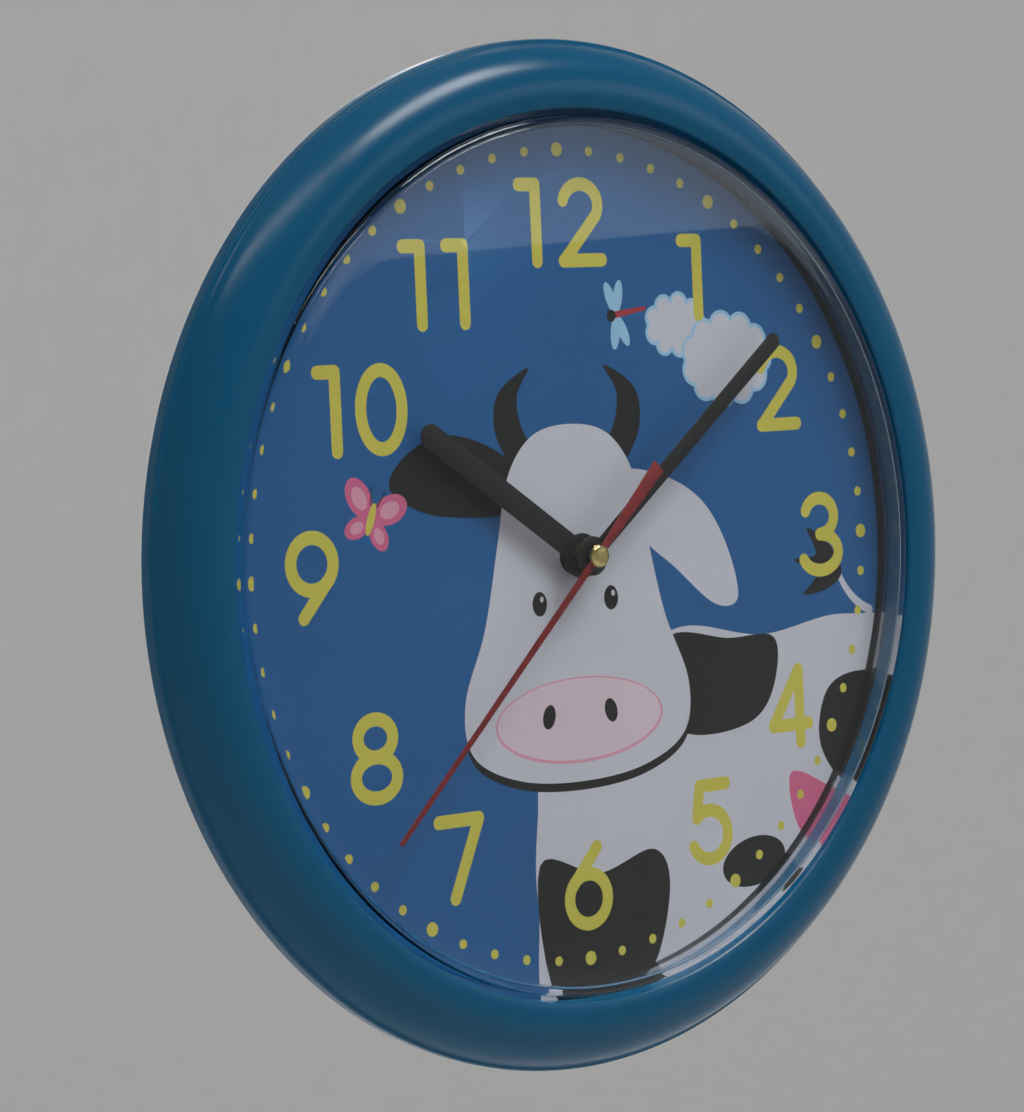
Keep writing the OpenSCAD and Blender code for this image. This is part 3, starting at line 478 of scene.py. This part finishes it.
def bezel_section():
    """Section in (r, z), from the opening's wall over the rounded front and back along its inside."""
    inner = ROLL_R - SKIN
    lip_r = BEZEL_R - SKIN
    wall_r = HOLE_R + HOLE_WALL

    def roll_arc(radius, start_r, end_r, steps):
        start, end = (degrees(acos((r - ROLL_AT[0]) / radius)) for r in (start_r, end_r))
        return arc(*ROLL_AT, radius, radius, start, end, steps)

    front = roll_arc(ROLL_R, HOLE_R + HOLE_EDGE, CREASE_R, 40)
    inside = roll_arc(inner, lip_r - 1, wall_r, 24)
    corners = [(HOLE_R, HOLE_REAR_Z, 0.25), (HOLE_R, front[0][1] - HOLE_EDGE, 0.0)]
    corners += [(r, z, 0.0) for r, z in front]
    corners += [(BEZEL_R - 1, 0.72, 0.2), (BEZEL_R - 0.25, 0.45, 0.35), (BEZEL_R, -0.3, 0.3)]
    corners += [(BEZEL_R, LIP_Z, 0.45), (lip_r, LIP_Z, 0.3), (lip_r, LIP_INNER_Z, 0.0)]
    corners += [(r, z, 0.0) for r, z in inside]
    corners += [(wall_r, HOLE_REAR_Z, 0.25)]
    return fillet(corners)


def boss_section():
    """Section in (r, z) of a screw boss with its pilot hole."""
    return fillet([
        (PILOT_R, BOSS_REAR_Z, 0.1), (BOSS_R, BOSS_REAR_Z, 0.3),
        (BOSS_R, BOSS_FRONT_Z, 0.2), (PILOT_R, BOSS_FRONT_Z, 0.1),
    ], 3)


bm = bmesh.new()
lathe(bm, bezel_section(), ROUND)
for i in range(SCREWS):
    lathe(bm, boss_section(), 40, polar(SCREW_CIRCLE, i * 360 / SCREWS))
bezel = new_piece("bezel_shell", bm, "case", [bezel_plastic], 25)
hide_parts("case_ring")


# ---- Lens ----

LENS_R = 106.3  # outer radius of the wall
LENS_T = 1.9  # thickness of the wall
LENS_FRONT_T = 1.3  # thickness of the front
LENS_WALL_Z = 8.2  # where the wall ends and its corner starts
LENS_CORNER = 2.2  # radius of the corner outside
LENS_INNER_CORNER = 1.2  # radius of the corner inside
LENS_RISE = 3.2  # rise of the front's middle above the corner
LENS_FOOT_R = 112.6
LENS_FOOT_T = 1.5
SEAT = 0.05  # gap between parts that seat on each other


def lens_dome(drop, edge_r, steps=26):
    """The front's curve from an edge in to the middle, a distance below its outer face."""
    top = LENS_WALL_Z + LENS_CORNER + LENS_RISE
    dome_r = LENS_R - LENS_CORNER
    sphere = (dome_r ** 2 + LENS_RISE ** 2) / (2 * LENS_RISE)
    radii = [edge_r * (1 - i / steps) for i in range(steps + 1)]
    return [(r, top - drop - (sphere - sqrt(sphere ** 2 - r * r))) for r in radii]


def lens_section():
    """Section in (r, z), from the foot up the wall, in to the middle and back along the inside."""
    inner_r = LENS_R - LENS_T
    outer_at = (LENS_R - LENS_CORNER, LENS_WALL_Z)
    inner_at = (inner_r - LENS_INNER_CORNER, LENS_WALL_Z + LENS_CORNER - LENS_FRONT_T - LENS_INNER_CORNER)
    outer_corner = arc(*outer_at, LENS_CORNER, LENS_CORNER, 0, 84, 10)
    inner_corner = arc(*inner_at, LENS_INNER_CORNER, LENS_INNER_CORNER, 84, 0, 8)
    # The last two corners only guide the fillets, because the arcs start and end there
    foot = fillet([
        (inner_r, SEAT, 0.15), (LENS_FOOT_R, SEAT, 0.2), (LENS_FOOT_R, LENS_FOOT_T, 0.3),
        (LENS_R, LENS_FOOT_T, 0.4), (LENS_R, LENS_WALL_Z, 0.0), (inner_r, inner_at[1], 0.0),
    ])[:-2]
    dome = lens_dome(0, outer_at[0])
    under = lens_dome(LENS_FRONT_T, inner_at[0])[::-1]
    return foot + outer_corner + dome[1:] + under[:-1] + inner_corner


bm = bmesh.new()
lathe(bm, lens_section(), ROUND)
lens = new_piece("lens_shell", bm, "case", [lens_plastic], 40)
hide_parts("lens")


# ---- Dial card and its print ----

CARD_R = 113.0
CARD_HOLE_R = 4.5
CARD_T = 0.6
DOT_CIRCLE = 98.4
HOUR_DOT_R = 1.75
MINUTE_DOT_R = 1.2
PEN = 3.3  # width of the digits' strokes
DIGIT_W, DIGIT_H = 15.6, 21.8
ONE_W = 8.4  # width of a 1

# Centre lines of the digits in a unit box
GLYPHS = {
    "0": [arc(0.5, 0.5, 0.5, 0.5, 90, 270, 24), arc(0.5, 0.5, 0.5, 0.5, -90, 90, 24)],
    "1": [[(0, 1), (1, 1)], [(1, 1), (1, 0)]],
    "2": [arc(0.48, 0.72, 0.46, 0.28, 165, -28, 20) + [(0.02, 0.0)], [(0, 0), (1, 0)]],
    "3": [arc(0.46, 0.75, 0.42, 0.25, 160, -90, 22), arc(0.46, 0.25, 0.52, 0.25, 90, -160, 24)],
    "4": [[(0.75, 1), (0, 0.26)], [(0, 0.25), (1, 0.25)], [(0.76, 1), (0.76, 0)]],
    "5": [[(0.92, 1), (0.2, 1)], [(0.2, 1), (0.1, 0.57)], arc(0.44, 0.33, 0.5, 0.33, 132, -155, 24)],
    "6": [[(0.76, 1), (0.1, 0.52)], arc(0.5, 0.33, 0.5, 0.33, 90, 270, 20),
          arc(0.5, 0.33, 0.5, 0.33, -90, 90, 20)],
    "7": [[(0, 1), (1, 1)], [(1, 1), (0.34, 0)]],
    "8": [arc(0.5, 0.76, 0.42, 0.24, 90, 270, 18), arc(0.5, 0.76, 0.42, 0.24, -90, 90, 18),
          arc(0.5, 0.26, 0.5, 0.26, 90, 270, 18), arc(0.5, 0.26, 0.5, 0.26, -90, 90, 18)],
    "9": [arc(0.5, 0.67, 0.5, 0.33, 90, 270, 20), arc(0.5, 0.67, 0.5, 0.33, -90, 90, 20),
          [(0.93, 0.5), (0.26, 0)]],
}

# Each digit on the dial and its centre
DIGITS = [
    ("1", -10.1, 80.7), ("2", 7.0, 80.7), ("1", 42.0, 66.5), ("2", 70.8, 38.0), ("3", 84.2, 0.0),
    ("4", 70.8, -43.2), ("5", 41.9, -69.5), ("6", 0.2, -80.7), ("7", -39.6, -69.6),
    ("8", -63.6, -43.3), ("9", -79.8, 0.1), ("1", -73.4, 37.9), ("0", -57.4, 37.9),
    ("1", -46.5, 66.5), ("1", -33.4, 66.5),
]

# Every printed outline with its ink, in the order of painting. A later one covers an earlier one.
shapes = []


def paint(ink, loop):
    """Adds an outline to the print, turned anticlockwise."""
    area = sum(a[0] * b[1] - b[0] * a[1] for a, b in zip(loop, loop[1:] + loop[:1]))
    shapes.append((ink, loop if area > 0 else loop[::-1]))


def mirrored(points):
    return [(-x, y) for x, y in points]


def moved(points, dx, dy):
    return [(x + dx, y + dy) for x, y in points]


def cloud(cx, cy, size, lobes):
    """White cloud with a pale outline: a middle and a ring of lobes."""
    lobe = size * 0.27
    middle = (cx, cy, size * 0.9, size * 0.64)
    parts = [middle] + [(x, y, lobe, lobe) for x, y in ellipse(*middle, steps=lobes)]
    for ink, grow in (("pale", 0.9), ("white", 0.0)):
        for x, y, rx, ry in parts:
            paint(ink, ellipse(x, y, rx + grow, ry + grow, steps=24))


# Ink, reach from the body, size and lean of the wings on one side and of the patches in them
WINGS = [
    ("pink", 6.2, 5.2, 38), ("pink", 4.6, 3.8, -42),
    ("rose", 6.0, 3.0, 38), ("rose", 4.6, 2.1, -42),
]


def butterfly(cx, cy, tilt):
    """Two wings on each side, two feelers and a body."""
    for side in (-1, 1):
        for ink, reach, size, lean in WINGS:
            angle = tilt + (lean if side > 0 else 180 - lean)
            x, y = polar(reach, angle)
            paint(ink, ellipse(cx + x, cy + y, size, size * 0.66, angle, 24))
    for spread in (-16, 16):
        feeler = [polar(reach, tilt + 90 + spread) for reach in (3.4, 7.6)]
        paint("black", stroke(moved(feeler, cx, cy), 0.35))
    paint("yellow", ellipse(cx, cy, 1.1, 4.0, tilt, 20))


def dragonfly(cx, cy, tilt):
    """Four wings, a long red body and a round head."""
    for lean in (72, 104, -72, -104):
        x, y = polar(4.4, tilt + lean)
        paint("pale", ellipse(cx + x, cy + y, 4.2, 1.5, tilt + lean, 20))
    x, y = polar(9.5, tilt)
    paint("red", stroke([(cx, cy), (cx + x, cy + y)], 1.7, 1.0))
    x, y = polar(-1.6, tilt)
    paint("black", ellipse(cx + x, cy + y, 1.5, 1.5, 0, 18))


def draw_cow():
    """A plain cow of no particular model: body with patches to the lower right, head in the middle."""
    body = [
        (-11, -40), (-15, -62), (-16, -84), (-9, -118), (60, -122), (122, -80), (122, -30),
        (92, -21), (62, -24), (34, -20), (10, -30),
    ]
    paint("white", smooth_loop(body, 8))
    shoulder = [(30, -22), (50, -24), (66, -25), (65, -38), (56, -46), (36, -47), (22, -38)]
    foreleg = [(-15, -74), (4, -78), (22, -74), (27, -84), (20, -104), (4, -112), (-12, -106)]
    flank = [(84, -40), (96, -36), (112, -40), (110, -64), (92, -66), (81, -54)]
    for patch in (shoulder, foreleg, flank):
        paint("black", smooth_loop(patch))
    udder = [(70, -60), (82, -64), (92, -72), (84, -84), (72, -74)]
    paint("pink", smooth_loop(udder))
    paint("black", ellipse(56, -81, 11, 6.2, 8))
    tail = arc(108, -2, 20, 20, 248, 205, 10)
    paint("white", stroke(tail, 2.4, 1.6))
    tuft = [(91, -10), (87, -3), (79, 2), (82, -5), (74, -6), (82, -10), (77, -15), (86, -14)]
    paint("black", smooth_loop(tuft, 5))
    horn = smooth_loop([(7, 24), (14, 30), (16, 39), (12, 46), (22, 40), (23, 30), (16, 21)])
    paint("black", mirrored(horn))
    paint("black", horn)
    ear = smooth_loop([(15, 20), (26, 28), (40, 31), (52, 26), (56, 19), (46, 13), (30, 11), (19, 12)])
    paint("black", mirrored(ear))
    hanging_ear = [(17, 19), (30, 18), (43, 11), (51, -1), (54, -14), (46, -15), (33, -5), (22, 4)]
    paint("white", smooth_loop(hanging_ear))
    half = [(0, 32), (12, 29.5), (20, 20), (24, 4), (29, -16), (36, -33), (34, -46), (20, -53)]
    head = smooth_loop(half + [(0, -55)] + mirrored(half[1:])[::-1], 8)
    paint("black", moved(head, 0.1, -2.1))
    paint("white", head)
    paint("rose", ellipse(0, -40, 27, 10.5, 0, 48))
    paint("blush", ellipse(0, -39.8, 26.3, 9.9, 0, 48))
    # A nostril, an eye and the light in it on each side
    for side in (-1, 1):
        paint("black", ellipse(side * 10, -38.5, 2.0, 3.0, side * 16, 24))
        paint("black", ellipse(side * 11.5, -11, 2.3, 3.0, 0, 24))
        paint("white", ellipse(side * 11.5 + 0.7, -9.9, 0.6, 0.75, 0, 12))


def draw_dots():
    """A dot for each minute, larger at the hours."""
    for minute in range(60):
        radius, steps = (MINUTE_DOT_R, 18) if minute % 5 else (HOUR_DOT_R, 24)
        paint("yellow", ellipse(*polar(DOT_CIRCLE, minute * 6), radius, radius, 0, steps))


def draw_digits():
    for glyph, cx, cy in DIGITS:
        wide = (ONE_W if glyph == "1" else DIGIT_W) - PEN
        high = DIGIT_H - PEN
        for line in GLYPHS[glyph]:
            paint("yellow", stroke([(cx + (x - 0.5) * wide, cy + (y - 0.5) * high) for x, y in line], PEN))


paint("sky", ellipse(0, 0, CARD_R, CARD_R, 0, 240))
draw_cow()
cloud(36.5, 55, 8.2, 9)
cloud(53.5, 46, 12.6, 11)
butterfly(-62, 12.5, -20)
dragonfly(17, 58, 8)
draw_dots()
draw_digits()
paint("hole", ellipse(0, 0, CARD_HOLE_R, CARD_HOLE_R, 0, 48))

INKS = {
    "sky": printed("ink_sky", SKY, 0.07),
    "white": printed("ink_white", WHITE_INK, 0.02),
    "black": printed("ink_black", BLACK_INK, 0.12),
    "yellow": printed("ink_yellow", YELLOW, 0.04),
    "pale": printed("ink_pale_blue", (0.30, 0.52, 0.70)),
    "pink": printed("ink_pink", (0.60, 0.12, 0.24)),
    "rose": printed("ink_rose", (0.66, 0.30, 0.40)),
    "blush": printed("ink_blush", (0.66, 0.53, 0.58)),
    "red": printed("ink_red", (0.36, 0.03, 0.035)),
    "card": printed("bare_card", (0.50, 0.46, 0.40), 0.08),
}


def printed_card():
    """One flat sheet cut along every printed outline, so that each ink is its own faces."""
    points, faces = [], []
    for _, loop in shapes:
        faces.append(list(range(len(points), len(points) + len(loop))))
        points += [Vector(p) for p in loop]
    # Each cell comes with the numbers of the shapes that cover it, and the last painted one shows
    spots, _, cells, _, _, origins = delaunay_2d_cdt(points, [], faces, 1, 1e-5, True)
    ink_index = {ink: i for i, ink in enumerate(INKS)}
    bm = bmesh.new()
    front = [bm.verts.new((p.x, p.y, 0)) for p in spots]
    rear = [bm.verts.new((p.x, p.y, -CARD_T)) for p in spots]
    for cell, owners in zip(cells, origins):
        top = shapes[max(owners)][0] if owners else "hole"
        # Shape 0 is the card's own outline, and nothing is kept outside it
        if top == "hole" or 0 not in owners:
            continue
        for verts, ink in ((front, top), (rear, "card")):
            order = cell if verts is front else cell[::-1]
            bm.faces.new([verts[i] for i in order]).material_index = ink_index[ink]
    rim = [e for e in bm.edges if e.is_boundary and abs(e.verts[0].co.z) < 1e-9]
    partner = dict(zip(front, rear))
    for edge in rim:
        a, b = edge.verts
        bm.faces.new([b, a, partner[a], partner[b]]).material_index = ink_index["card"]
    loose = [v for v in bm.verts if not v.link_faces]
    bmesh.ops.delete(bm, geom=loose, context="VERTS")
    return bm


card = new_piece("printed_card", printed_card(), "case", list(INKS.values()))
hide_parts("dial_card")


# ---- Hands ----

HAND_T = 0.4
HAND_EDGE = 0.09  # radius of the rounded edges
HOUR_Z, MINUTE_Z, SECOND_Z = 2.9, 6.8, 8.6  # rear faces
HOUR_ANGLE, MINUTE_ANGLE, SECOND_ANGLE = 304.3, 51.7, 225.6  # clockwise from 12
HOUR_BORE_R, MINUTE_BORE_R = 2.95, 2.05
TUBE_R = 1.15  # radius of the seconds hand's tube


def blade_outline(length, root_w, tip_w, hub_r):
    """Hub and blade pointing to 12, as one loop."""
    neck = degrees(asin(root_w / 2 / hub_r))
    hub = arc(0, 0, hub_r, hub_r, 90 + neck, 450 - neck, 72)
    tip = arc(0, length - tip_w / 2, tip_w / 2, tip_w / 2, 0, 180, 24)
    return hub + tip


def needle_outline(length, tail, hub_r, root_w, tip_w, tail_w):
    """Seconds hand: a tapered needle, a round hub and a tail that widens."""
    neck = degrees(asin(root_w / 2 / hub_r))
    left = arc(0, 0, hub_r, hub_r, 90 + neck, 270 - neck, 24)
    right = arc(0, 0, hub_r, hub_r, 270 + neck, 450 - neck, 24)
    tail_end = [(-tail_w / 2, -tail), (tail_w / 2, -tail)]
    tip_end = [(tip_w / 2, length), (-tip_w / 2, length)]
    return left + tail_end + right + tip_end


def add_hand(name, body, outline, bore_r, z, angle, coat):
    """Stamped hand on its body, in place of the body's CAD hand."""
    node = body + "_hand"
    bore = ellipse(0, 0, bore_r, bore_r, 0, 48)
    hand = stamped(name, [outline, bore], z, HAND_T, HAND_EDGE, angle, body, coat)
    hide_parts(node)


hour_outline = blade_outline(length=58, root_w=6.1, tip_w=6.1, hub_r=5.5)
minute_outline = blade_outline(length=82.5, root_w=3.8, tip_w=4.2, hub_r=4.8)
second_outline = needle_outline(length=90, tail=29.5, hub_r=2.3, root_w=1.9, tip_w=1.2, tail_w=3.9)
add_hand("hour_blade", "hour", hour_outline, HOUR_BORE_R, HOUR_Z, HOUR_ANGLE, black_enamel)
add_hand("minute_blade", "minute", minute_outline, MINUTE_BORE_R, MINUTE_Z, MINUTE_ANGLE, black_enamel)
add_hand("second_needle", "second", second_outline, TUBE_R, SECOND_Z, SECOND_ANGLE, red_enamel)

CAP_R = 2.75
CAP_REAR = SECOND_Z + HAND_T + SEAT
CAP_SIDE = 0.8  # height of the side, up to the bevel
CAP_H = 1.55
CAP_BORE = 0.95  # depth of the blind hole for the tube
GROOVE_AT = 0.31  # height of the groove's middle
GROOVE_HALF = 0.06  # half the groove's width
GROOVE_DEPTH = 0.08


def cap_section():
    """Section in (r, z) of the cap: a groove round its side, a bevelled front and a blind hole."""
    groove = CAP_REAR + GROOVE_AT
    return fillet([
        (TUBE_R, CAP_REAR, 0.0), (CAP_R, CAP_REAR, 0.12),
        (CAP_R, groove - GROOVE_HALF, 0.03), (CAP_R - GROOVE_DEPTH, groove, 0.02),
        (CAP_R, groove + GROOVE_HALF, 0.03),
        (CAP_R, CAP_REAR + CAP_SIDE, 0.12), (CAP_R - 0.35, CAP_REAR + 1.15, 0.15),
        (CAP_R - 1, CAP_REAR + 1.43, 0.3), (0.0, CAP_REAR + CAP_H, 0.0),
        (0.0, CAP_REAR + CAP_BORE, 0.0), (TUBE_R, CAP_REAR + CAP_BORE, 0.0),
    ], 4)


bm = bmesh.new()
lathe(bm, cap_section(), 96)
cap = new_piece("turned_cap", bm, "second", [cap_brass], 28)
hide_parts("second_hand_cap")


# ---- Finishes of the CAD nodes that show as they are ----

FINISHES = {
    "back_case": case_plastic, "movement_cradle": case_plastic,
    "case_screws": zinc, "hanger_plate": zinc, "hanger_screws": zinc,
    "hour_hand_collet": brass, "minute_hand_collet": black_enamel, "second_hand_tube": tube_metal,
    "movement_case": black_plastic, "movement_cover": black_plastic, "setting_knob": black_plastic,
    "train_plate": natural_plastic, "bridge_plate": natural_plastic, "coil_bobbin": natural_plastic,
    "hour_wheel": black_plastic, "minute_arbor": brass, "centre_wheel": brass,
    "minute_wheel": acetal, "third_wheel": acetal, "second_wheel": acetal, "fifth_wheel": acetal,
    "rotor_pinion": acetal, "rotor_magnet": ferrite, "second_arbor": bright_steel,
    "stator": spring_steel, "coil_core": spring_steel, "coil_winding": copper,
    "circuit_board": solder_mask, "quartz_crystal": bright_steel, "chip_cover": resin,
    "positive_contact": bronze, "negative_contact": spring_steel,
    "battery_cell": bright_steel, "battery_sleeve": sleeve_film,
}
# Width in millimetres of the rounding that a mould or press leaves along a node's edges
ROUNDED = {
    "back_case": 0.35, "movement_cradle": 0.25, "hanger_plate": 0.2, "movement_case": 0.35,
    "movement_cover": 0.25, "setting_knob": 0.15, "case_screws": 0.12, "hanger_screws": 0.12,
    "battery_cell": 0.4,
}
for name, material in FINISHES.items():
    node = NODES[name]
    for slot in node.material_slots:
        slot.link = "OBJECT"
        slot.material = material
for name, width in ROUNDED.items():
    node = NODES[name]
    weld = node.modifiers.new("weld", "WELD")
    weld.merge_threshold = 2e-6
    bevel = node.modifiers.new("rounded_edges", "BEVEL")
    bevel.width = width * MM
    bevel.segments = 2
    bevel.limit_method = "ANGLE"
    bevel.angle_limit = radians(40)
    bevel.harden_normals = True


# ---- Floor, light and camera ----

# In metres. The clock hangs, so the floor is well below it.
FLOOR_Z = -0.95
ROOM_R = 4.6
COVE_R = 1.6
ROOM_H = 5.5


def studio():
    """Pale seamless floor and backdrop all round, open at the top."""
    cove = arc(ROOM_R - COVE_R, FLOOR_Z + COVE_R, COVE_R, COVE_R, -90, 0, 16)
    bm = bmesh.new()
    lathe(bm, [(0, FLOOR_Z)] + cove + [(ROOM_R, FLOOR_Z + ROOM_H)], 96, closed=False)
    for face in bm.faces:
        face.smooth = True
    mesh = bpy.data.meshes.new("studio")
    bm.to_mesh(mesh)
    bm.free()
    paper = moulded("backdrop_paper", (0.74, 0.74, 0.73), 0.9, 60, 1e-4, 0.01)
    mesh.materials.append(paper)
    room = bpy.data.objects.new("studio", mesh)
    bpy.context.scene.collection.objects.link(room)


def soft_light(name, spot, target, size, watts, tint=(1, 1, 1)):
    """Soft box of a size in metres that faces a target."""
    lamp = bpy.data.lights.new(name, "AREA")
    lamp.shape = "RECTANGLE"
    lamp.size, lamp.size_y = size
    lamp.energy = watts
    lamp.color = tint
    holder = bpy.data.objects.new(name, lamp)
    holder.location = spot
    holder.rotation_euler = (Vector(target) - Vector(spot)).to_track_quat("-Z", "Y").to_euler()
    bpy.context.scene.collection.objects.link(holder)


studio()
soft_light("key", (0.9, -1.3, 2.3), DIAL, (1.3, 0.7), 37)
soft_light("strip", (-0.9, -0.9, 2.2), DIAL, (2.2, 0.25), 11)
soft_light("window", (1.9, -2.2, 0.7), DIAL, (1.7, 0.9), 4, (0.93, 0.97, 1.0))
soft_light("back", (0.8, 2.4, 0.4), DIAL, (1.6, 1.2), 18)
soft_light("overhead", (0, 0, 4.0), (0, 0, 0), (4.5, 4.5), 11)
soft_light("backdrop_right", (1.6, 2.0, 2.6), (3.4, 3.6, -0.4), (1.4, 1.4), 14)
soft_light("backdrop_left", (-1.6, 2.0, 2.6), (-3.4, 3.6, -0.4), (1.4, 1.4), 14)

world = bpy.data.worlds.new("soft_room")
world.use_nodes = True
background = world.node_tree.nodes["Background"]
background.inputs["Color"].default_value = (0.86, 0.90, 0.95, 1)
background.inputs["Strength"].default_value = 0.12
bpy.context.scene.world = world

CAMERA_BACK = Vector((-0.6437, -0.7636, 0.0506))  # direction from the clock to the camera
CAMERA_UP = Vector((0.0659, 0.0106, 0.9978))  # up in the picture, which leans a little
CAMERA_AIM = DIAL + Vector((-0.0192, 0.0, 0.00117))  # middle of the picture
CAMERA_DISTANCE = 0.9653

optics = bpy.data.cameras.new("camera")
optics.lens = 130.32
optics.sensor_width = 36
camera = bpy.data.objects.new("camera", optics)
back = CAMERA_BACK.normalized()
right = CAMERA_UP.cross(back).normalized()
turn = Matrix((right, back.cross(right), back)).transposed()
camera.matrix_world = Matrix.Translation(CAMERA_AIM + back * CAMERA_DISTANCE) @ turn.to_4x4()
bpy.context.scene.collection.objects.link(camera)
bpy.context.scene.camera = camera
bpy.context.scene.view_settings.view_transform = "Standard"
